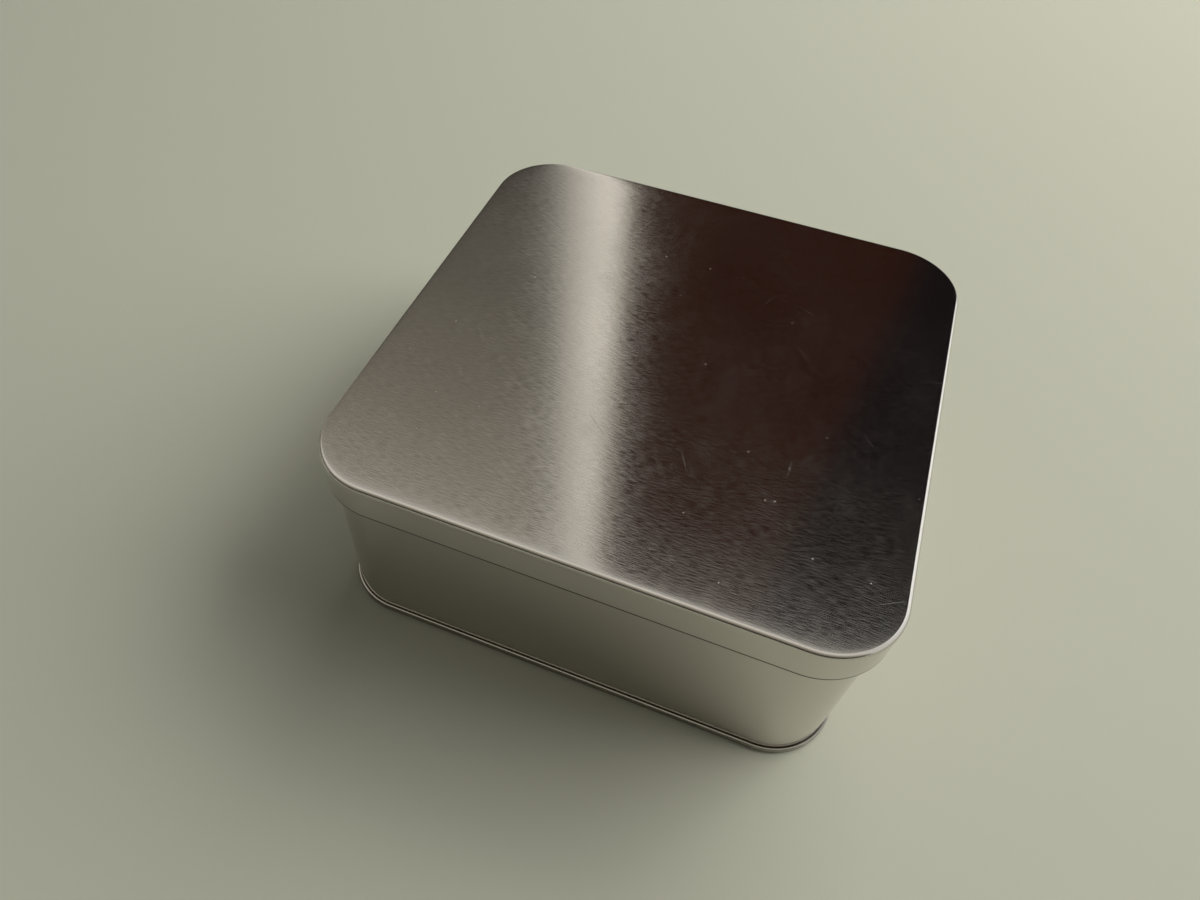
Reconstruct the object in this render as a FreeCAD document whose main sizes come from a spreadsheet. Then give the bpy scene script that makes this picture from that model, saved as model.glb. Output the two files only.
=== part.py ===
import FreeCAD, Part
import math
import os
import Sketcher

# A square tinplate tin with a slip lid: lid, wrapped body wall and seamed-on bottom panel.
# Origin at the centre of the foot, +Z up, front face towards -Y, millimetres.

doc = FreeCAD.newDocument("SlipLidTin")
sheet = doc.addObject("Spreadsheet::Sheet", "Sizes")

SIZES = {
    "lid_width": 150.0,          # outside of the lid, both ways
    "lid_corner": 19.5,          # outside corner radius of the lid, seen from above
    "lid_depth": 12.0,           # top of the panel to the lower edge of the skirt
    "lid_edge": 1.2,             # outside radius where panel turns into skirt
    "lid_curl": 0.7,             # radius of the curl along the skirt's lower edge
    "lid_clearance": 0.6,        # between the lid's curl and the wall, each side
    "total_height": 63.0,        # foot to the top of the closed lid
    "seat_gap": 0.2,             # between the wall's top curl and the panel over it
    "plate": 0.25,               # tinplate thickness
    "body_curl": 0.7,            # radius of the curl along the wall's top edge
    "seam_height": 2.4,          # height of the double seam at the foot
    "seam_gap": 0.05,            # between neighbouring layers in the double seam
    "seam_bend": 0.25,           # inside radius of the foot's two bends
    "hook_gap": 0.15,            # at the end of each hook in the double seam
    "countersink": 3.2,          # foot to the underside of the recessed bottom
    "panel_bend": 0.5,           # inside radius where the bottom turns down to the seam
    "lock_seam_width": 4.0,      # folded side seam at the back
    "lock_seam_layers": 3.0,     # plate layers that the side seam adds inside the wall
    "lock_seam_notch": 1.5,      # side seam stops this far from the curl and the bottom
    "lock_seam_line": 0.2,       # width of the line where the outer sheet turns in
}
for row, (alias, value) in enumerate(SIZES.items(), start=1):
    sheet.set("A%d" % row, alias)
    sheet.set("B%d" % row, str(value))
    sheet.setAlias("B%d" % row, alias)
doc.recompute()

# All three pieces turn round the same four corner axes, so their gaps are even all the way round.
CORNER_AXIS = "(Sizes.lid_width / 2 - Sizes.lid_corner)"
BODY_CORNER = "(Sizes.lid_corner - 2 * Sizes.lid_curl - Sizes.lid_clearance)"
BODY_TOP = "(Sizes.total_height - Sizes.plate - Sizes.seat_gap)"

# Inside radius of the hooks' half turns: each wraps round one layer with a gap on either side.
HOOK_BEND = "(Sizes.plate / 2 + Sizes.seam_gap)"
HOOK_TURN_HEIGHT = "(2 * Sizes.plate + Sizes.seam_gap + %s)" % HOOK_BEND


def number(expression):
    """Value of an expression on the sheet's cells."""
    return float(sheet.evalExpression(expression))


def origin_plane(body, role):
    """One of a body's own origin planes or axes, by its role."""
    return next(item for item in body.Origin.OriginFeatures if item.Role == role)


def new_sketch(body, name, role, offsets):
    """Sketch on an origin plane, moved in its own axes by the expressions in offsets."""
    sketch = body.newObject("Sketcher::SketchObject", name)
    sketch.AttachmentSupport = [(origin_plane(body, role), "")]
    sketch.MapMode = "FlatFace"
    for axis, expression in offsets.items():
        sketch.setExpression("AttachmentOffset.Base.%s" % axis, expression)
    return sketch


def dimension(sketch, kind, *where, size):
    """Add a dimension and bind it to an expression."""
    index = sketch.addConstraint(Sketcher.Constraint(kind, *where, number(size)))
    sketch.setExpression("Constraints[%d]" % index, size)


def join(sketch, kind, *where):
    """Add a constraint that has no size."""
    sketch.addConstraint(Sketcher.Constraint(kind, *where))


def rounded_square(sketch, half, radius):
    """Square of half-width `half` round the sketch's origin, with its corners rounded."""
    reach, bend = number(half), number(radius)
    flat = reach - bend
    sides, corners = [], []
    for quarter in range(4):
        turn = FreeCAD.Rotation(FreeCAD.Vector(0, 0, 1), 90 * quarter)
        start = turn.multVec(FreeCAD.Vector(reach, -flat, 0))
        end = turn.multVec(FreeCAD.Vector(reach, flat, 0))
        centre = turn.multVec(FreeCAD.Vector(flat, flat, 0))
        circle = Part.Circle(centre, FreeCAD.Vector(0, 0, 1), bend)
        angle = math.pi / 2 * quarter
        sides.append(sketch.addGeometry(Part.LineSegment(start, end)))
        corners.append(sketch.addGeometry(Part.ArcOfCircle(circle, angle, angle + math.pi / 2)))
    for quarter in range(4):
        join(sketch, "Tangent", sides[quarter], 2, corners[quarter], 1)
        join(sketch, "Tangent", corners[quarter], 2, sides[(quarter + 1) % 4], 1)
        join(sketch, "Vertical" if quarter % 2 == 0 else "Horizontal", sides[quarter])
    for quarter in range(1, 4):
        join(sketch, "Equal", corners[0], corners[quarter])
    join(sketch, "Equal", sides[0], sides[1])
    join(sketch, "Symmetric", corners[0], 3, corners[2], 3, -1, 1)
    dimension(sketch, "Radius", corners[0], size=radius)
    dimension(sketch, "DistanceX", sides[2], 1, sides[0], 1, size="2 * %s" % half)


def rectangle(sketch, width, low, high):
    """Rectangle centred on the sketch's vertical axis, between two heights."""
    x, z0, z1 = number(width) / 2, number(low), number(high)
    corners = [FreeCAD.Vector(*c, 0) for c in ((-x, z0), (x, z0), (x, z1), (-x, z1))]
    lines = [sketch.addGeometry(Part.LineSegment(corners[i], corners[(i + 1) % 4])) for i in range(4)]
    for i in range(4):
        join(sketch, "Coincident", lines[i], 2, lines[(i + 1) % 4], 1)
    join(sketch, "Symmetric", lines[0], 1, lines[0], 2, -2)
    join(sketch, "Vertical", lines[1])
    join(sketch, "Horizontal", lines[2])
    join(sketch, "Vertical", lines[3])
    dimension(sketch, "Distance", lines[0], size=width)
    dimension(sketch, "DistanceY", -1, 1, lines[0], 1, size=low)
    dimension(sketch, "DistanceY", -1, 1, lines[2], 1, size=high)


def bent_section(sketch, x, z, heading, moves):
    """Section through one sheet that starts at (x, z) and follows the moves.

    The start lies on the sheet's left face, as seen along the heading in degrees; the right face is
    one plate thickness away. A move is ("run", length) or ("bend", turn, radius): the turn is in
    degrees, left positive, and the radius is that of the face on the inside of the bend.
    """
    plate = number("Sizes.plate")
    point = FreeCAD.Vector(number(x), number(z), 0)
    faces = []
    for move in moves:
        along = FreeCAD.Vector(math.cos(math.radians(heading)), math.sin(math.radians(heading)), 0)
        right = FreeCAD.Vector(along.y, -along.x, 0)
        if move[0] == "run":
            step = along * number(move[1])
            pair = [Part.LineSegment(point + right * side, point + right * side + step)
                    for side in (0, plate)]
            ends = (1, 2)
            point = point + step
        else:
            turn, inside = move[1], number(move[2])
            left_radius = inside if turn > 0 else inside + plate
            centre = point - right * left_radius if turn > 0 else point + right * left_radius
            arm = point - centre
            first = math.atan2(arm.y, arm.x) + min(0, math.radians(turn))
            pair = [Part.ArcOfCircle(Part.Circle(centre, FreeCAD.Vector(0, 0, 1), radius),
                                     first, first + math.radians(abs(turn)))
                    for radius in (left_radius, 2 * inside + plate - left_radius)]
            ends = (1, 2) if turn > 0 else (2, 1)
            point = centre + FreeCAD.Rotation(FreeCAD.Vector(0, 0, 1), turn).multVec(arm)
            heading += turn
        faces.append((sketch.addGeometry(pair[0]), sketch.addGeometry(pair[1]), ends, along))

    for before, after in zip(faces, faces[1:]):
        for face in (0, 1):
            join(sketch, "Tangent", before[face], before[2][1], after[face], after[2][0])
    for move, (left, right, ends, along) in zip(moves, faces):
        if move[0] == "run":
            lie = "Horizontal" if abs(along.x) > abs(along.y) else "Vertical"
            join(sketch, lie, left)
            join(sketch, lie, right)
            dimension(sketch, "Distance", left, size=move[1])
        else:
            join(sketch, "Coincident", left, 3, right, 3)
            dimension(sketch, "Radius", left if move[1] > 0 else right, size=move[2])

    # The sheet's two cut ends, square to its faces.
    for place, end in ((0, 0), (-1, 1)):
        left, right, ends, along = faces[place]
        corners = [sketch.getPoint(face, ends[end]) for face in (left, right)]
        cut = sketch.addGeometry(Part.LineSegment(*corners))
        join(sketch, "Coincident", cut, 1, left, ends[end])
        join(sketch, "Coincident", cut, 2, right, ends[end])
        upright = abs(corners[0].x - corners[1].x) < plate / 2
        lie = "Vertical" if upright else "Horizontal"
        if moves[place][0] == "run":
            join(sketch, lie, cut)
        else:
            join(sketch, lie, left, 3, left, ends[end])
            join(sketch, lie, right, 3, right, ends[end])
        if place == 0:
            dimension(sketch, "Distance", cut, size="Sizes.plate")
    left, right, ends, along = faces[0]
    dimension(sketch, "DistanceX", -1, 1, left, ends[0], size=x)
    dimension(sketch, "DistanceY", -1, 1, left, ends[0], size=z)


def round_the_tin(body, name, x, z, heading, moves):
    """Carry a sheet's section along one side and round one corner, then repeat it on all four."""
    section = new_sketch(body, name + "_section", "XZ_Plane", {"x": CORNER_AXIS, "z": "-" + CORNER_AXIS})
    doc.recompute()
    bent_section(section, x, z, heading, moves)
    side = body.newObject("PartDesign::Pad", name + "_side")
    side.Profile = section
    side.setExpression("Length", "2 * " + CORNER_AXIS)
    corner = body.newObject("PartDesign::Revolution", name + "_corner")
    corner.Profile = section
    corner.ReferenceAxis = (section, ["V_Axis"])
    corner.Angle = 90
    doc.recompute()
    sides = body.newObject("PartDesign::PolarPattern", name + "_sides")
    sides.Originals = [side, corner]
    sides.Axis = (origin_plane(body, "Z_Axis"), [""])
    sides.Angle = 360
    sides.Occurrences = 4
    body.Tip = sides
    doc.recompute()


def flat_panel(body, name, edge, height):
    """Flat sheet with its underside at `height`, out to `edge` from the corner axes."""
    outline = new_sketch(body, name + "_outline", "XY_Plane", {"z": height})
    doc.recompute()
    rounded_square(outline, "(%s + %s)" % (CORNER_AXIS, edge), edge)
    panel = body.newObject("PartDesign::Pad", name)
    panel.Profile = outline
    panel.setExpression("Length", "Sizes.plate")
    doc.recompute()


def make_lid():
    """Drawn lid: panel, rounded edge, straight skirt and a curl turned inward below it."""
    body = doc.addObject("PartDesign::Body", "lid")
    edge = "(Sizes.lid_corner - Sizes.lid_edge)"
    flat_panel(body, "lid_panel", edge, "(Sizes.total_height - Sizes.plate)")
    round_the_tin(body, "lid_skirt", edge, "Sizes.total_height", 0, [
        ("bend", -90, "(Sizes.lid_edge - Sizes.plate)"),
        ("run", "(Sizes.lid_depth - Sizes.lid_edge - Sizes.lid_curl)"),
        ("bend", -270, "(Sizes.lid_curl - Sizes.plate)"),
    ])
    return body


def make_body_wall():
    """Wrapped wall: hook in the foot's seam, upright sheet, curl inward at the top, side seam."""
    body = doc.addObject("PartDesign::Body", "body_wall")
    hook_end = "(Sizes.seam_height - Sizes.plate - Sizes.hook_gap)"
    hook_face = "(%s + 2 * Sizes.plate + 2 * Sizes.seam_gap)" % BODY_CORNER
    round_the_tin(body, "wall", hook_face, hook_end, -90, [
        ("run", "(%s - %s)" % (hook_end, HOOK_TURN_HEIGHT)),
        ("bend", -180, HOOK_BEND),
        ("run", "(%s - Sizes.body_curl - %s)" % (BODY_TOP, HOOK_TURN_HEIGHT)),
        ("bend", 270, "(Sizes.body_curl - Sizes.plate)"),
    ])

    # The strip's two ends hook together at the back: a folded band inside, one fine line outside,
    # pressed half a plate deep.
    wall_face = "(%s + %s)" % (CORNER_AXIS, BODY_CORNER)
    low = "(Sizes.countersink + Sizes.plate + Sizes.lock_seam_notch)"
    high = "(%s - 2 * Sizes.body_curl - Sizes.lock_seam_notch)" % BODY_TOP
    fold_outline = new_sketch(body, "lock_seam_outline", "XZ_Plane", {"z": "Sizes.plate - " + wall_face})
    doc.recompute()
    rectangle(fold_outline, "Sizes.lock_seam_width", low, high)
    fold = body.newObject("PartDesign::Pad", "lock_seam")
    fold.Profile = fold_outline
    fold.setExpression("Length", "Sizes.lock_seam_layers * Sizes.plate")
    doc.recompute()
    whole = fold.Shape.Volume
    line_outline = new_sketch(body, "lock_seam_line_outline", "XZ_Plane", {"z": "-" + wall_face})
    doc.recompute()
    rectangle(line_outline, "Sizes.lock_seam_line", low, high)
    line = body.newObject("PartDesign::Pocket", "lock_seam_line")
    line.Profile = line_outline
    line.Reversed = True
    line.setExpression("Length", "Sizes.plate / 2")
    doc.recompute()
    cut = number("Sizes.lock_seam_line * Sizes.plate / 2") * (number(high) - number(low))
    if abs(whole - line.Shape.Volume - cut) > 0.01 * cut:
        raise RuntimeError("the side seam's line is not cut half a plate deep")
    return body


def make_bottom_panel():
    """Recessed bottom whose edge wraps the wall's hook: the double seam at the foot."""
    body = doc.addObject("PartDesign::Body", "bottom_panel")
    edge = "(%s - 2 * Sizes.plate - Sizes.seam_gap - Sizes.panel_bend)" % BODY_CORNER
    flat_panel(body, "bottom_plate", edge, "Sizes.countersink")
    foot = "(Sizes.plate + Sizes.seam_bend)"
    top_turn = "(Sizes.seam_height - Sizes.plate - %s)" % HOOK_BEND
    hook_end = "(2 * Sizes.plate + Sizes.seam_gap + Sizes.hook_gap)"
    round_the_tin(body, "seam", edge, "(Sizes.countersink + Sizes.plate)", 0, [
        ("bend", -90, "Sizes.panel_bend"),
        ("run", "(Sizes.countersink - Sizes.panel_bend - %s)" % foot),
        ("bend", 90, "Sizes.seam_bend"),
        ("run", "(3 * Sizes.plate + 4 * Sizes.seam_gap - 2 * Sizes.seam_bend)"),
        ("bend", 90, "Sizes.seam_bend"),
        ("run", "(%s - %s)" % (top_turn, foot)),
        ("bend", 180, HOOK_BEND),
        ("run", "(%s - %s)" % (top_turn, hook_end)),
    ])
    return body


pieces = [make_lid(), make_body_wall(), make_bottom_panel()]
doc.recompute()

for item in doc.Objects:
    if "Invalid" in item.State or "Error" in item.State:
        raise RuntimeError("%s failed: %s" % (item.Name, item.State))
for piece in pieces:
    if piece.Shape.isNull() or not piece.Shape.isValid() or len(piece.Shape.Solids) != 1:
        raise RuntimeError("%s is not one valid solid" % piece.Label)

os.makedirs("parts", exist_ok=True)
for piece in pieces:
    piece.Shape.exportStep("parts/%s.step" % piece.Label)
    box = piece.Shape.BoundBox
    print("%-13s volume %8.1f mm3  x %.2f..%.2f  y %.2f..%.2f  z %.2f..%.2f" % (
        piece.Label, piece.Shape.Volume, box.XMin, box.XMax, box.YMin, box.YMax, box.ZMin, box.ZMax))
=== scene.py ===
import bmesh
import bpy
import numpy as np
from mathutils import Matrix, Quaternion, Vector


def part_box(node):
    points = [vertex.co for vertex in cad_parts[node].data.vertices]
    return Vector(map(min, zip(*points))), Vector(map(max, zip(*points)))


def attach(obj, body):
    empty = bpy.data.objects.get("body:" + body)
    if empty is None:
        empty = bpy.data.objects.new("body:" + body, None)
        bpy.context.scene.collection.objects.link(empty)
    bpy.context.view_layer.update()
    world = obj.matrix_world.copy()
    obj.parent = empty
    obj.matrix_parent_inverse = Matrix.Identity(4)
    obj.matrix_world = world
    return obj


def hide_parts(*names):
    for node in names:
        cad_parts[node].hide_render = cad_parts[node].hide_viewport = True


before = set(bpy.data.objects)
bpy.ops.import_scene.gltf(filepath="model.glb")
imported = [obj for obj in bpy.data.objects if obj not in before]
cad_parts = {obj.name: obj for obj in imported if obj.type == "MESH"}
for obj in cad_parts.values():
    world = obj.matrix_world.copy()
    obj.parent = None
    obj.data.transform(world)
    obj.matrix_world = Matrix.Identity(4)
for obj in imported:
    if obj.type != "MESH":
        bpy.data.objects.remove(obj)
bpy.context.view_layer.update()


# Lid: one square blank of tinplate drawn into a shallow pan. Its panel rolls off gently at the rim,
# turns down into a straight skirt, and the skirt's cut edge is curled inward. It slips over the wall.
MM = 0.001
PLATE = 0.25 * MM
LID_CORNER = 19.5 * MM
LID_EDGE = 1.2 * MM
LID_CURL = 0.7 * MM
LID_ROLL_OFF = 1.5
LID_ROLL_OFF_WIDTH = 4.0 * MM
LID_FLARE = 10.0
LID_FLARE_BEND = 1.5 * MM
# Painted shade: how far above the curl the skirt's colour turns dark, for the shadow in the gap.
LID_SHADE_BEFORE = 0.2 * MM
IRONED = 0.8
SIDE_STOPS = 24
CORNER_STOPS = 20
CORNER_SUPPORT = 0.4 * MM
PANEL_RINGS = 12
PANEL_SUPPORT = 0.004
BEND_STEP = 6.0
FEWEST_BEND_STEPS = 4
BEND_SUPPORT = 0.05 * MM
MERGE_DISTANCE = 1e-7
SHARP_ANGLE = 40
SHEET_SIDE = 0.6

lid_low, lid_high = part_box("lid")
corner_axis = lid_high.x - LID_CORNER


def bent_sheet(heading, moves):
    """Section through a bent sheet: its left face, its right face and the distance along it.

    The middle line is added up from short chords. A move is ("run", length, steps) or
    ("bend", turn, radius): a run keeps the heading and has a very short step at each end, which keeps
    its shading flat, and a bend of inside radius r turns it in equal small angles a, each with a chord
    of 2 (r + plate / 2) sin(a / 2) along the mean heading. The faces lie half a plate to either side
    of that line. Angles are in degrees, left positive.
    """
    turns, chords = [], []
    for kind, amount, detail in moves:
        if kind == "run":
            turns.append(np.zeros(detail + 2))
            length = (amount - 2 * BEND_SUPPORT) / detail
            chords.append(np.r_[BEND_SUPPORT, np.full(detail, length), BEND_SUPPORT])
        else:
            steps = max(FEWEST_BEND_STEPS, round(abs(amount) / BEND_STEP))
            small = np.radians(amount) / steps
            turns.append(np.full(steps, small))
            chords.append(np.full(steps, 2 * (detail + PLATE / 2) * np.sin(abs(small) / 2)))
    turns, chords = np.concatenate(turns), np.concatenate(chords)
    after = np.radians(heading) + np.cumsum(turns)
    mean = after - turns / 2
    steps = chords[:, None] * np.stack([np.cos(mean), np.sin(mean)], 1)
    middle = np.concatenate([np.zeros((1, 2)), np.cumsum(steps, 0)])
    facing = np.concatenate([[np.radians(heading)], after])
    left = np.stack([-np.sin(facing), np.cos(facing)], 1) * PLATE / 2
    return middle + left, middle - left, np.concatenate([[0.0], np.cumsum(chords)])


def tin_path(extra_stops=()):
    """One walk round the tin, anticlockwise from the middle of the back.

    Gives, for every stop, the foot on the square of the four corner axes and the unit vector pointing
    out. Along a side the foot moves and the vector stays; round a corner the foot stays and the
    vector turns. One quarter is worked out and turned by 90 degrees three times.
    """
    stops = np.linspace(-corner_axis, corner_axis, SIDE_STOPS + 1)
    near_corner = corner_axis - CORNER_SUPPORT
    stops = np.unique(np.r_[stops, -near_corner, near_corner, extra_stops])
    turn = np.radians(np.linspace(0, 90, CORNER_STOPS + 1)[1:-1])
    foot = np.stack([np.concatenate([-stops, np.full(turn.size, -corner_axis)]),
                     np.full(stops.size + turn.size, corner_axis)], 1)
    angle = np.concatenate([np.zeros(stops.size), turn])
    out = np.stack([-np.sin(angle), np.cos(angle)], 1)
    quarter = np.radians([0, 90, 180, 270])
    turned = np.array([[np.cos(quarter), -np.sin(quarter)], [np.sin(quarter), np.cos(quarter)]])
    feet = np.einsum("abq,nb->qna", turned, foot).reshape(-1, 2)
    outs = np.einsum("abq,nb->qna", turned, out).reshape(-1, 2)
    start = -int(np.argmin(np.abs(stops)))
    return np.roll(feet, start, 0), np.roll(outs, start, 0)


def rings(path, reach, shrink):
    """Rings round the tin, seen from above: shrink (foot + reach * out)."""
    feet, outs = path
    return (feet[None] + reach[:, None, None] * outs[None]) * shrink[:, None, None]


def carried_round(path, reach, height, shrink):
    """Surface of a section carried round the tin: a ring for each of its points, at its height."""
    flat = rings(path, reach, shrink)
    return np.concatenate([flat, np.broadcast_to(height[:, None, None], (*flat.shape[:2], 1))], 2)


def ramp(value, start, end):
    """0 up to start and 1 from end on, with an even slope between."""
    return np.clip((value - start) / (end - start), 0, 1)


def sheet_piece(name, grid, layout, finish, closed_section):
    """Mesh object of a grid of points that closes on itself along the path.

    A face joins four neighbours; layout has one more column than the grid and gives each face corner
    its place on the flat sheet, which becomes the UV map. Rings of no size become single poles.
    Finish names attributes for the material, each with a value from 0 to 1 for every row.
    """
    rows, columns = grid.shape[:2]
    row, column = np.meshgrid(np.arange(rows if closed_section else rows - 1), np.arange(columns),
                              indexing="ij")
    corner_row = np.stack([row, row + 1, row + 1, row], -1).reshape(-1, 4) % rows
    corner_column = np.stack([column, column, column + 1, column + 1], -1).reshape(-1, 4)
    faces = corner_row * columns + corner_column % columns
    mesh = bpy.data.meshes.new(name)
    mesh.from_pydata(grid.reshape(-1, 3).tolist(), [], faces.tolist())
    uv = mesh.uv_layers.new(name="sheet")
    uv.data.foreach_set("uv", layout[corner_row, corner_column].astype(np.float32).ravel())
    for treatment, amount in finish.items():
        spread = mesh.attributes.new(treatment, "FLOAT", "POINT")
        spread.data.foreach_set("value", np.repeat(amount, columns).astype(np.float32))
    work = bmesh.new()
    work.from_mesh(mesh)
    bmesh.ops.remove_doubles(work, verts=work.verts, dist=MERGE_DISTANCE)
    work.to_mesh(mesh)
    work.free()
    mesh.shade_smooth()
    mesh.set_sharp_from_angle(angle=np.radians(SHARP_ANGLE))
    piece = bpy.data.objects.new(name, mesh)
    bpy.context.scene.collection.objects.link(piece)
    return piece


def linear(colour):
    """sRGB hex value as linear red, green and blue, with alpha 1."""
    srgb = np.array([int(colour[place:place + 2], 16) for place in (1, 3, 5)]) / 255
    rgb = np.where(srgb <= 0.04045, srgb / 12.92, ((srgb + 0.055) / 1.055) ** 2.4)
    return (*rgb.tolist(), 1.0)


def add_node(tree, kind, inputs, **settings):
    """Add a node, set its properties, and give its inputs a value or the output that feeds them."""
    made = tree.nodes.new(kind)
    for setting, value in settings.items():
        setattr(made, setting, value)
    for socket, value in inputs.items():
        if isinstance(value, bpy.types.NodeSocket):
            tree.links.new(value, made.inputs[socket])
        else:
            made.inputs[socket].default_value = value
    return made


# Brushed tinplate: cold-rolled steel with a thin bright coat of tin, its grain all one way. It mirrors
# the room, blurred more across the grain than along it, with short fine streaks, faint clouds where it
# was handled, and a few thin scratches and specks. The real grain is under 0.1 mm wide, too fine for a
# picture of the whole tin, so it is drawn over twice as coarse.
TIN_TONE = "#CFCBC4"
# Painted shade: a dark tone mixed into the colour along the lid's curled edge and on the foot seam.
PAINTED_SHADE_TONE = "#4A463E"
GRAIN_LENGTH = 2.6 * MM
GRAIN_WIDTH = 0.24 * MM
GRAIN_SHARE = 0.4
CLOUD = 35 * MM
CLOUD_ROUGHNESS = 0.016
SMUDGE = 9 * MM
SMUDGE_ROUGHNESS = 0.012
SCRATCH_CELL = 22 * MM
SCRATCH_LENGTH = 8 * MM
SCRATCH_WIDTH = 0.3 * MM
SCRATCH_SHARE = 0.5
SCRATCH_ROUGHNESS = 0.09
SPECK_CELL = 13 * MM
SPECK_WIDTH = 0.4 * MM
SPECK_SHARE = 0.25
SPECK_ROUGHNESS = 0.14
MARK_CORE = 0.6
QUARTER_TURN = 0.25
# Numbers of the Mix node's sockets, because their names repeat.
FACTOR, FLOAT_A, FLOAT_B, FLOAT_RESULT = 0, 2, 3, 0
COLOUR_A, COLOUR_B, COLOUR_RESULT = 6, 7, 2


def shaded(colour, share):
    """Colour made darker or lighter by a share of its light."""
    return (*(share * level for level in linear(colour)[:3]), 1.0)


def tinplate(name, roughness, anisotropy, grain_depth, contrast):
    """Tin-coated sheet whose grain follows U of the piece's own flat layout, with painted shade, a dark
    tone, mixed into its colour where the mesh asks for it.
    """
    material = bpy.data.materials.new(name)
    material.use_nodes = True
    tree = material.node_tree
    shader = tree.nodes["Principled BSDF"]
    laid = add_node(tree, "ShaderNodeUVMap", {}, uv_map="sheet").outputs["UV"]

    def blotches(length, width, low, high):
        """Soft blotches of that length along the grain and width across it: 0 at low noise, 1 at high."""
        place = add_node(tree, "ShaderNodeMapping", {
            "Vector": laid, "Scale": (length / SHEET_SIDE, width / SHEET_SIDE, 1)},
            vector_type="TEXTURE").outputs["Vector"]
        noise = add_node(tree, "ShaderNodeTexNoise", {
            "Vector": place, "Scale": 1.0, "Detail": 0.0},
            noise_dimensions="2D").outputs["Fac"]
        return add_node(tree, "ShaderNodeMapRange", {
            "Value": noise, "From Min": low, "From Max": high}).outputs["Result"]

    def marks(cell, length, width, share):
        """Thin ellipses, one in a share of the cells of a loose net, each turned its own way."""
        place = add_node(tree, "ShaderNodeMapping", {
            "Vector": laid, "Scale": (cell / SHEET_SIDE, cell / SHEET_SIDE, 1)},
            vector_type="TEXTURE").outputs["Vector"]
        net = add_node(tree, "ShaderNodeTexVoronoi", {"Vector": place, "Scale": 1.0},
                       voronoi_dimensions="2D")
        chance = add_node(tree, "ShaderNodeSeparateColor", {"Color": net.outputs["Color"]}).outputs
        beside = add_node(tree, "ShaderNodeVectorMath", {0: place, 1: net.outputs["Position"]},
                          operation="SUBTRACT").outputs["Vector"]
        angle = add_node(tree, "ShaderNodeMath", {0: chance["Red"], 1: np.pi},
                         operation="MULTIPLY").outputs["Value"]
        turned = add_node(tree, "ShaderNodeVectorRotate", {"Vector": beside, "Angle": angle},
                          rotation_type="Z_AXIS").outputs["Vector"]
        sized = add_node(tree, "ShaderNodeVectorMath", {
            0: turned, 1: (2 * cell / length, 2 * cell / width, 0)}, operation="MULTIPLY").outputs["Vector"]
        away = add_node(tree, "ShaderNodeVectorMath", {0: sized}, operation="LENGTH").outputs["Value"]
        mark = add_node(tree, "ShaderNodeMapRange", {
            "Value": away, "From Min": 1.0, "From Max": MARK_CORE}).outputs["Result"]
        chosen = add_node(tree, "ShaderNodeMath", {0: chance["Green"], 1: share},
                          operation="LESS_THAN").outputs["Value"]
        return add_node(tree, "ShaderNodeMath", {0: mark, 1: chosen}, operation="MULTIPLY").outputs["Value"]

    ironed = add_node(tree, "ShaderNodeAttribute", {}, attribute_name="ironed").outputs["Fac"]
    grain = add_node(tree, "ShaderNodeMix", {
        FACTOR: ironed, FLOAT_A: blotches(GRAIN_LENGTH, GRAIN_WIDTH, low=0.25, high=0.75), FLOAT_B: 0.5,
    }).outputs[FLOAT_RESULT]
    layers = [
        (grain, GRAIN_SHARE * roughness),
        (blotches(CLOUD, CLOUD, low=0.3, high=0.7), CLOUD_ROUGHNESS),
        (blotches(SMUDGE, SMUDGE, low=0.62, high=0.75), SMUDGE_ROUGHNESS),
        (marks(SCRATCH_CELL, SCRATCH_LENGTH, SCRATCH_WIDTH, SCRATCH_SHARE), SCRATCH_ROUGHNESS),
        (marks(SPECK_CELL, SPECK_WIDTH, SPECK_WIDTH, SPECK_SHARE), SPECK_ROUGHNESS),
    ]
    rough = (1 - GRAIN_SHARE / 2) * roughness - CLOUD_ROUGHNESS / 2
    for layer, amount in layers:
        rough = add_node(tree, "ShaderNodeMath", {0: layer, 1: amount, 2: rough},
                         operation="MULTIPLY_ADD").outputs["Value"]
    bump = add_node(tree, "ShaderNodeBump", {"Height": grain, "Strength": 1.0, "Distance": grain_depth})
    along = add_node(tree, "ShaderNodeTangent", {}, direction_type="UV_MAP", uv_map="sheet")
    streaked = add_node(tree, "ShaderNodeMix", {
        FACTOR: grain, COLOUR_A: shaded(TIN_TONE, 1 - contrast), COLOUR_B: shaded(TIN_TONE, 1 + contrast)},
        data_type="RGBA").outputs[COLOUR_RESULT]
    # Painted shade: the dark tone is mixed in by the amount the mesh carries for each row.
    painted_shade_amount = add_node(tree, "ShaderNodeAttribute", {}, attribute_name="painted_shade").outputs["Fac"]
    coloured = add_node(tree, "ShaderNodeMix", {
        FACTOR: painted_shade_amount, COLOUR_A: streaked, COLOUR_B: linear(PAINTED_SHADE_TONE)},
        data_type="RGBA").outputs[COLOUR_RESULT]
    tree.links.new(coloured, shader.inputs["Base Color"])
    shader.inputs["Metallic"].default_value = 1.0
    shader.inputs["Anisotropic"].default_value = anisotropy
    shader.inputs["Anisotropic Rotation"].default_value = QUARTER_TURN
    tree.links.new(rough, shader.inputs["Roughness"])
    tree.links.new(bump.outputs["Normal"], shader.inputs["Normal"])
    tree.links.new(along.outputs["Tangent"], shader.inputs["Tangent"])
    return material


def laid_out_from_centre(path, reach, shrink):
    """Flat layout of a pressed piece: its blank seen from above, as if every bend were opened out."""
    flat = rings(path, reach, shrink)
    return np.concatenate([flat, flat[:, :1]], 1) / SHEET_SIDE + 0.5


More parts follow.
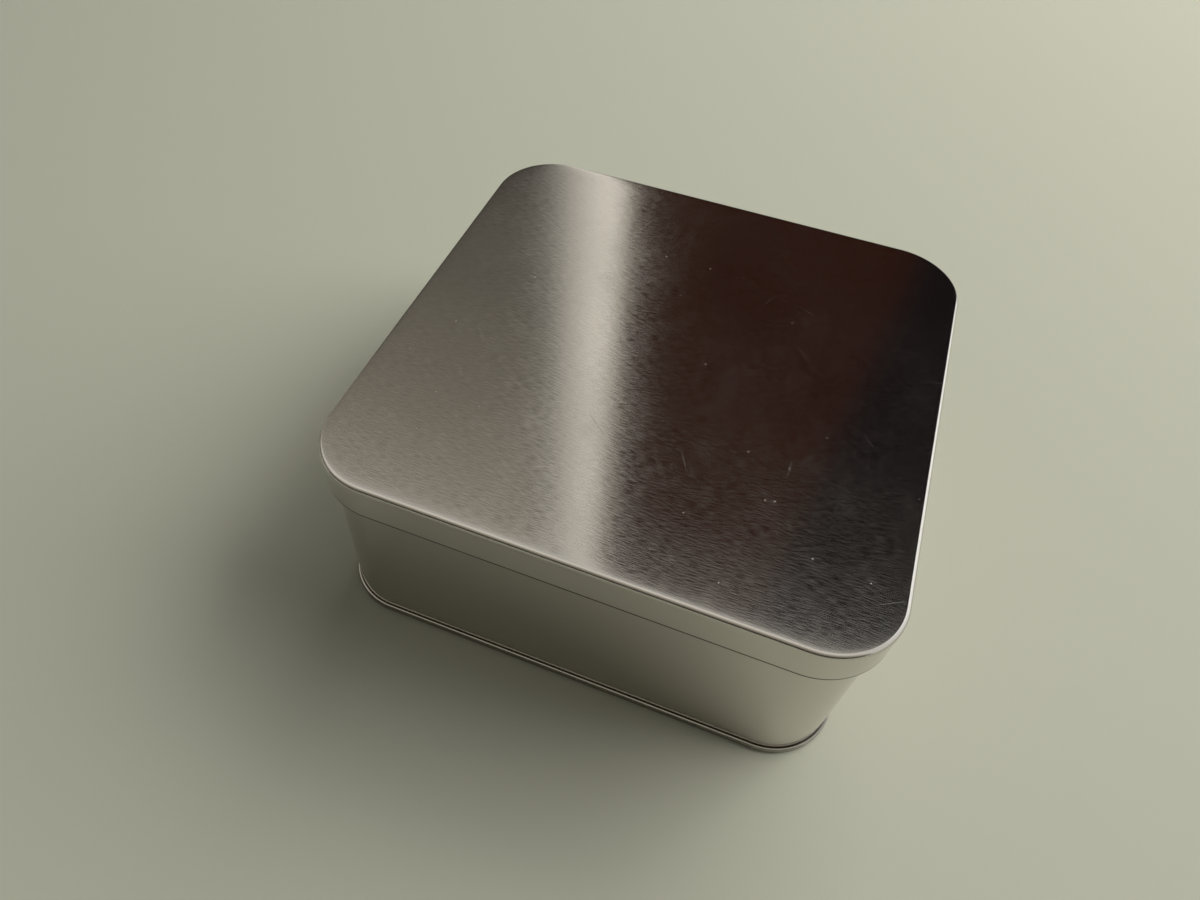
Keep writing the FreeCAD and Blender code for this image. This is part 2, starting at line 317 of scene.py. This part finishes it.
def pan(name, path, section, edge_reach, shade_after, shade_share, ironed_by):
    """Pressed panel with a bent rim: face up from the pole, round the rim, and back underneath.

    Past one distance along the section the plate's colour is darkened by a share with painted shade,
    fully so after half a plate more. By another it is ironed: drawing it round the rim has smoothed
    most of its grain away.
    """
    upper, lower, along = section
    out = np.r_[np.linspace(0, 1, PANEL_RINGS + 1)[:-1], 1 - PANEL_SUPPORT]
    rim = np.ones(len(upper))
    panel_reach = np.full(out.size, edge_reach)
    reach = np.concatenate([panel_reach, upper[:, 0], lower[::-1, 0], panel_reach])
    height = np.concatenate([np.full(out.size, upper[0, 1]), upper[:, 1],
                             lower[::-1, 1], np.full(out.size, lower[0, 1])])
    shrink = np.concatenate([out, rim, rim, out[::-1]])
    opened = np.concatenate([panel_reach, edge_reach + along, edge_reach + along[::-1], panel_reach])
    # Painted shade: how much of the dark tone each row of the rim gets.
    shade_rim = shade_share * ramp(along, shade_after, shade_after + PLATE / 2)
    iron_rim = IRONED * ramp(along, 0, ironed_by)
    finish = {"painted_shade": np.concatenate([0 * out, shade_rim, shade_rim[::-1], 0 * out]),
              "ironed": np.concatenate([0 * out, iron_rim, iron_rim[::-1], 0 * out])}
    grid = carried_round(path, reach, height, shrink)
    layout = laid_out_from_centre(path, opened, shrink)
    return sheet_piece(name, grid, layout, finish, closed_section=False)


lid_depth = lid_high.z - lid_low.z
roll_off_radius = LID_ROLL_OFF_WIDTH / np.radians(LID_ROLL_OFF) - PLATE
lid_edge = [("bend", -LID_ROLL_OFF, roll_off_radius), ("bend", LID_ROLL_OFF - 90, LID_EDGE - PLATE)]
lid_flare = [("bend", LID_FLARE, LID_FLARE_BEND)]
lid_curl = [("bend", -LID_FLARE - 270, LID_CURL - PLATE)]
lid_bends = bent_sheet(0, lid_edge + lid_flare + lid_curl)[0]
lid_skirt = [("run", lid_depth - np.ptp(lid_bends[:, 1]), 6)]
lid_section = bent_sheet(0, lid_edge + lid_skirt + lid_flare + lid_curl)
lid_ironed_by = bent_sheet(0, lid_edge)[2][-1]
# Painted shade: the lid's curl, and the skirt just above it, are coloured dark for the shadow in the gap
# between skirt and wall.
lid_shade_after = bent_sheet(0, lid_edge + lid_skirt + lid_flare)[2][-1] - LID_SHADE_BEFORE
lid_shift = np.array([LID_CORNER - lid_section[0][:, 0].max(), lid_high.z - lid_section[0][0, 1]])
lid_section = (lid_section[0] + lid_shift, lid_section[1] + lid_shift, lid_section[2])
lid_piece = pan("lid_sheet", tin_path(), lid_section, edge_reach=lid_shift[0], shade_after=lid_shade_after,
                shade_share=1.0, ironed_by=lid_ironed_by)
brushed_tinplate = tinplate("brushed tinplate", roughness=0.145, anisotropy=0.8, grain_depth=0.0036 * MM,
                            contrast=0.04)
lid_piece.data.materials.append(brushed_tinplate)
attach(lid_piece, "lid")
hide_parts("lid")


# Wall: one strip of tinplate wrapped round the four corners, its ends hooked together and flattened as
# a lock seam at the back. The top edge is curled inward, and the bottom edge is hooked into the foot.
CLEARANCE = 0.6 * MM
BODY_CURL = 0.7 * MM
SEAM_GAP = 0.05 * MM
HOOK_GAP = 0.15 * MM
SEAM_HEIGHT = 2.4 * MM
COUNTERSINK = 3.2 * MM
LOCK_SEAM_WIDTH = 4.0 * MM
LOCK_SEAM_FOLD = 3 * PLATE
LOCK_SEAM_NOTCH = 1.5 * MM
LOCK_SEAM_LINE = 0.2 * MM
LOCK_SEAM_EDGE = 0.15 * MM

wall_low, wall_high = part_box("body_wall")
wall_face = LID_CORNER - 2 * LID_CURL - CLEARANCE
hook_bend = PLATE / 2 + SEAM_GAP
hook_turn = 2 * PLATE + SEAM_GAP + hook_bend
hook_end = SEAM_HEIGHT - PLATE - HOOK_GAP
lock_low = COUNTERSINK + PLATE + LOCK_SEAM_NOTCH
lock_high = wall_high.z - 2 * BODY_CURL - LOCK_SEAM_NOTCH
wall_straight_top = wall_high.z - BODY_CURL
wall_section = bent_sheet(-90, [
    ("run", hook_end - hook_turn, 2),
    ("bend", -180, hook_bend),
    ("run", lock_low - hook_turn, 2),
    ("run", LOCK_SEAM_EDGE, 2),
    ("run", lock_high - lock_low - 2 * LOCK_SEAM_EDGE, 8),
    ("run", LOCK_SEAM_EDGE, 2),
    ("run", wall_straight_top - lock_high, 2),
    ("bend", 270, BODY_CURL - PLATE),
])
wall_shift = np.array([wall_face + 2 * PLATE + 2 * SEAM_GAP - PLATE / 2, hook_end])
seam_half = LOCK_SEAM_WIDTH / 2
line_half = LOCK_SEAM_LINE / 2
lock_stops = np.array([line_half, 2 * line_half, seam_half - LOCK_SEAM_EDGE, seam_half])
wall_path = tin_path(np.concatenate([lock_stops, -lock_stops, [0.0]]))


def wall_with_lock_seam():
    """Wall section carried round the tin; at the back its inner face stands in and its outer has a line.

    Inside, reach shrinks by the folded layers times a ramp across the seam's edges and ends; outside,
    by half a plate times a ramp to the line's middle.
    """
    inner, outer = wall_section[0] + wall_shift, wall_section[1] + wall_shift
    reach = np.concatenate([inner[:, 0], outer[::-1, 0]])
    height = np.concatenate([inner[:, 1], outer[::-1, 1]])
    feet, outs = wall_path
    back = np.isclose(outs[:, 1], 1) * 1.0
    across = np.abs(feet[:, 0])
    fold = back * ramp(across, seam_half, seam_half - LOCK_SEAM_EDGE)
    line = back * ramp(across, line_half * 2, 0)
    ends = ramp(height, lock_low, lock_low + LOCK_SEAM_EDGE)
    ends = ends * ramp(height, lock_high, lock_high - LOCK_SEAM_EDGE)
    is_inner = np.arange(reach.size) < len(inner)
    depth = (ends * is_inner)[:, None] * fold * LOCK_SEAM_FOLD
    depth = depth + (ends * ~is_inner)[:, None] * line * PLATE / 2
    grid = carried_round(wall_path, reach, height, np.ones(reach.size))
    grid[:, :, :2] -= depth[:, :, None] * outs[None]
    ring = feet + wall_face * outs
    steps = np.linalg.norm(np.roll(ring, -1, 0) - ring, axis=1)
    walk = np.concatenate([[0.0], np.cumsum(steps)])
    along = np.concatenate([wall_section[2], wall_section[2][::-1]])
    layout = np.stack(np.broadcast_arrays(walk[None], along[:, None]), -1) / SHEET_SIDE
    return sheet_piece("wall_sheet", grid, layout, {}, closed_section=True)


wall_piece = wall_with_lock_seam()
# Bright tinplate: the same coat on smoother-rolled sheet. It mirrors the floor it stands on, soft and
# even, with hardly any grain, and its rolled seam is painted darker: painted shade that stands in for the
# shadowed floor at the foot which the seam mirrors.
bright_tinplate = tinplate("bright tinplate", roughness=0.11, anisotropy=0.4, grain_depth=0.0004 * MM,
                           contrast=0.015)
wall_piece.data.materials.append(bright_tinplate)
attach(wall_piece, "tin")
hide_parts("body_wall")


# Bottom: a pressed tinplate panel, recessed, whose edge wraps the wall's hook and is rolled flat as a
# double seam. That seam is the bead along the foot, and the tin stands on it.
PANEL_BEND = 0.5 * MM
SEAM_BEND = 0.25 * MM
# Share of painted shade on the double seam's outside, for the contact shadow it would mirror.
SEAM_SHADE = 0.45

bottom_edge = wall_face - 2 * PLATE - SEAM_GAP - PANEL_BEND
foot_bend = PLATE + SEAM_BEND
top_turn = SEAM_HEIGHT - PLATE - hook_bend
cover_hook_end = 2 * PLATE + SEAM_GAP + HOOK_GAP
bottom_inside = [
    ("bend", -90, PANEL_BEND),
    ("run", COUNTERSINK - PANEL_BEND - foot_bend, 2),
    ("bend", 90, SEAM_BEND),
    ("run", 3 * PLATE + 4 * SEAM_GAP - 2 * SEAM_BEND, 1),
]
bottom_section = bent_sheet(0, bottom_inside + [
    ("bend", 90, SEAM_BEND),
    ("run", top_turn - foot_bend, 2),
    ("bend", 180, hook_bend),
    ("run", top_turn - cover_hook_end, 2),
])
seam_shade_after = bent_sheet(0, bottom_inside)[2][-1]
bottom_shift = np.array([bottom_edge, COUNTERSINK + PLATE / 2])
bottom_section = (bottom_section[0] + bottom_shift, bottom_section[1] + bottom_shift, bottom_section[2])
bottom_piece = pan("bottom_sheet", tin_path(), bottom_section, edge_reach=bottom_edge,
                   shade_after=seam_shade_after, shade_share=SEAM_SHADE, ironed_by=PANEL_BEND)
bottom_piece.data.materials.append(bright_tinplate)
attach(bottom_piece, "tin")
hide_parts("bottom_panel")


# Floor and light: a pale matte floor that fades into a pale backdrop, two soft boxes that light it from
# the right and the back, and cards that only the metal sees: a broad bright one, graded grey ones, a
# narrow bright one, dark ones and a pale one overhead.
FLOOR_SIDE = 8.0
FLOOR_TONE = "#D0D0BC"
FADE_START = 0.55
FADE_END = 1.6
BACKDROP = "#F6F5F0"
BACKDROP_STRENGTH = 0.8
AMBIENT_STRENGTH = 0.11
BACK = 2.4
LEFT_END = -5.5
CEILING = 5.0
LOW_TOP = 1.4
LEAN = 0.12
STRIP_LEFT = -1.02
STRIP_WIDTH = 0.345
PALE = "#FFFBF2"
WARM = "#FFF6E4"


def flat_card(name, corner, across, up):
    """Flat four-sided sheet from one corner and its two edges."""
    corner, across, up = (Vector(edge) for edge in (corner, across, up))
    mesh = bpy.data.meshes.new(name)
    mesh.from_pydata([corner, corner + across, corner + across + up, corner + up], [], [(0, 1, 2, 3)])
    mesh.uv_layers.new(name="card").data.foreach_set("uv", [0, 0, 1, 0, 1, 1, 0, 1])
    card = bpy.data.objects.new(name, mesh)
    bpy.context.scene.collection.objects.link(card)
    return card


def seen(tree):
    """1 for a ray from the camera or off shiny metal, 0 for any other."""
    ray = add_node(tree, "ShaderNodeLightPath", {}).outputs
    return add_node(tree, "ShaderNodeMath", {0: ray["Is Camera Ray"], 1: ray["Is Glossy Ray"]},
                    operation="MAXIMUM").outputs["Value"]


def glow(card, colour, strength, fade=None):
    """Make a card shine for the metal alone: neither the camera nor the floor sees it.

    A fade (axis, start, end, other_strength) runs evenly from strength at start to the other at end,
    where the axis is X across the card or Y up it, and start and end are shares of its size.
    """
    material = bpy.data.materials.new(card.name)
    material.use_nodes = True
    tree = material.node_tree
    tree.nodes.remove(tree.nodes["Principled BSDF"])
    light = add_node(tree, "ShaderNodeEmission", {"Color": linear(colour), "Strength": strength})
    if fade:
        axis, start, end, other = fade
        place = add_node(tree, "ShaderNodeUVMap", {}, uv_map="card").outputs["UV"]
        along = add_node(tree, "ShaderNodeSeparateXYZ", {"Vector": place}).outputs[axis]
        faded = add_node(tree, "ShaderNodeMapRange", {
            "Value": along, "From Min": start, "From Max": end, "To Min": strength, "To Max": other})
        tree.links.new(faded.outputs["Result"], light.inputs["Strength"])
    tree.links.new(light.outputs["Emission"], tree.nodes["Material Output"].inputs["Surface"])
    card.data.materials.append(material)
    card.visible_camera = False
    card.visible_diffuse = False
    card.visible_shadow = False


def soft_box(name, place, width, height, power):
    """Soft box that faces the tin and lights the floor; the cards stand in for it in the metal."""
    lamp = bpy.data.lights.new(name, "AREA")
    lamp.shape = "RECTANGLE"
    lamp.size = width
    lamp.size_y = height
    lamp.energy = power
    box = bpy.data.objects.new(name, lamp)
    box.location = place
    box.rotation_mode = "QUATERNION"
    box.rotation_quaternion = (-Vector(place)).to_track_quat("-Z", "Y")
    box.visible_glossy = False
    bpy.context.scene.collection.objects.link(box)


floor = flat_card("floor", (-FLOOR_SIDE / 2, -FLOOR_SIDE / 2, 0), (FLOOR_SIDE, 0, 0), (0, FLOOR_SIDE, 0))
floor_paint = bpy.data.materials.new("matte floor paint")
floor_paint.use_nodes = True
floor_tree = floor_paint.node_tree
floor_shader = floor_tree.nodes["Principled BSDF"]
floor_shader.inputs["Base Color"].default_value = linear(FLOOR_TONE)
floor_shader.inputs["Roughness"].default_value = 0.9
floor_shader.inputs["Specular IOR Level"].default_value = 0.2
floor_place = add_node(floor_tree, "ShaderNodeTexCoord", {}).outputs["Object"]
floor_away = add_node(floor_tree, "ShaderNodeVectorMath", {0: floor_place},
                      operation="LENGTH").outputs["Value"]
floor_far = add_node(floor_tree, "ShaderNodeMapRange", {
    "Value": floor_away, "From Min": FADE_START, "From Max": FADE_END}, interpolation_type="SMOOTHSTEP")
floor_fade = add_node(floor_tree, "ShaderNodeMath", {0: floor_far.outputs["Result"], 1: seen(floor_tree)},
                      operation="MULTIPLY").outputs["Value"]
floor_pale = add_node(floor_tree, "ShaderNodeEmission", {
    "Color": linear(BACKDROP), "Strength": BACKDROP_STRENGTH}).outputs["Emission"]
floor_surface = add_node(floor_tree, "ShaderNodeMixShader", {
    0: floor_fade, 1: floor_shader.outputs["BSDF"], 2: floor_pale}).outputs["Shader"]
floor_tree.links.new(floor_surface, floor_tree.nodes["Material Output"].inputs["Surface"])
floor.data.materials.append(floor_paint)

# Places and sizes are in metres, lamps in watts, and a card of strength 1 is white.
soft_box("side_box", (1.46, 0.88, 1.2), width=1.66, height=2.0, power=37)
soft_box("back_box", (0.45, 1.7, 1.5), width=1.6, height=1.2, power=16)
window_card = flat_card("window_card", (1.03, 1.59, 0.0), (0.86, -1.42, 0), (0, 0, 2.2))
glow(window_card, "#FFFFFF", 1.4, fade=("X", 0.3, 0.75, 0.85))
ceiling_card = flat_card("ceiling_card", (-4.5, -2.0, CEILING), (7.0, 0, 0), (0, 3.4, 0))
glow(ceiling_card, PALE, 0.8)
grey_card = flat_card("grey_card", (LEFT_END, BACK, LOW_TOP), (5.0, 0, 0), (0, 0, CEILING - LOW_TOP))
glow(grey_card, WARM, 0.06, fade=("Y", 0.0, 0.9, 0.33))
strip_card = flat_card("strip_card", (STRIP_LEFT, BACK - 0.02, 0.0), (STRIP_WIDTH, 0, 0), (LEAN, 0, CEILING))
glow(strip_card, PALE, 0.14, fade=("X", 0.1, 0.8, 1.1))
brown_card = flat_card("brown_card", (STRIP_LEFT + STRIP_WIDTH, BACK - 0.02, 0.0), (1.2, 0, 0),
                       (LEAN, 0, CEILING))
glow(brown_card, "#3B1D14", 0.62)
black_card = flat_card("black_card", (0.37, BACK - 0.04, 0.0), (1.6, 0, 0), (0, 0, CEILING))
glow(black_card, "#1C1418", 0.6)
low_card = flat_card("low_card", (LEFT_END, BACK + 0.01, 0.0), (4.95, 0, 0), (0, 0, LOW_TOP))
glow(low_card, "#2A2522", 1.0)
left_card = flat_card("left_card", (-3.4, -2.0, 0.0), (0, 4.4, 0), (0, 0, 2.4))
glow(left_card, WARM, 0.02, fade=("Y", 0.1, 1.0, 0.6))
front_card = flat_card("front_card", (-1.0, -0.5, 0.0), (2.2, 0, 0), (0, 0, 1.1))
glow(front_card, WARM, 0.03, fade=("Y", 0.12, 0.5, 0.42))

world = bpy.data.worlds.new("studio")
bpy.context.scene.world = world
world.use_nodes = True
sky = world.node_tree
backdrop = sky.nodes["Background"]
backdrop.inputs["Color"].default_value = linear(BACKDROP)
sky_strength = add_node(sky, "ShaderNodeMapRange", {
    "Value": seen(sky), "To Min": AMBIENT_STRENGTH, "To Max": BACKDROP_STRENGTH}).outputs["Result"]
sky.links.new(sky_strength, backdrop.inputs["Strength"])


# Camera: held above the front edge and a little to the right, looking down at the lid.
CAMERA_PLACE = Vector((28.6, -172.2, 231.5)) * MM
CAMERA_TARGET = Vector((-31.1, -4.0, 0.0)) * MM
CAMERA_ROLL = 0.047
CAMERA_SENSOR = 36.0
CAMERA_LENS = 25.53
CAMERA_SHIFT = (0.0409, 0.0136)
CAMERA_NEAR = 0.01
camera_data = bpy.data.cameras.new("camera")
camera_data.sensor_fit = "HORIZONTAL"
camera_data.sensor_width = CAMERA_SENSOR
camera_data.lens = CAMERA_LENS
camera_data.shift_x, camera_data.shift_y = CAMERA_SHIFT
camera_data.clip_start = CAMERA_NEAR
camera = bpy.data.objects.new("camera", camera_data)
camera.location = CAMERA_PLACE
aim = (CAMERA_TARGET - CAMERA_PLACE).to_track_quat("-Z", "Y")
camera.rotation_mode = "QUATERNION"
camera.rotation_quaternion = aim @ Quaternion((0, 0, 1), CAMERA_ROLL)
bpy.context.scene.collection.objects.link(camera)
bpy.context.scene.camera = camera
bpy.context.scene.view_settings.view_transform = "Standard"
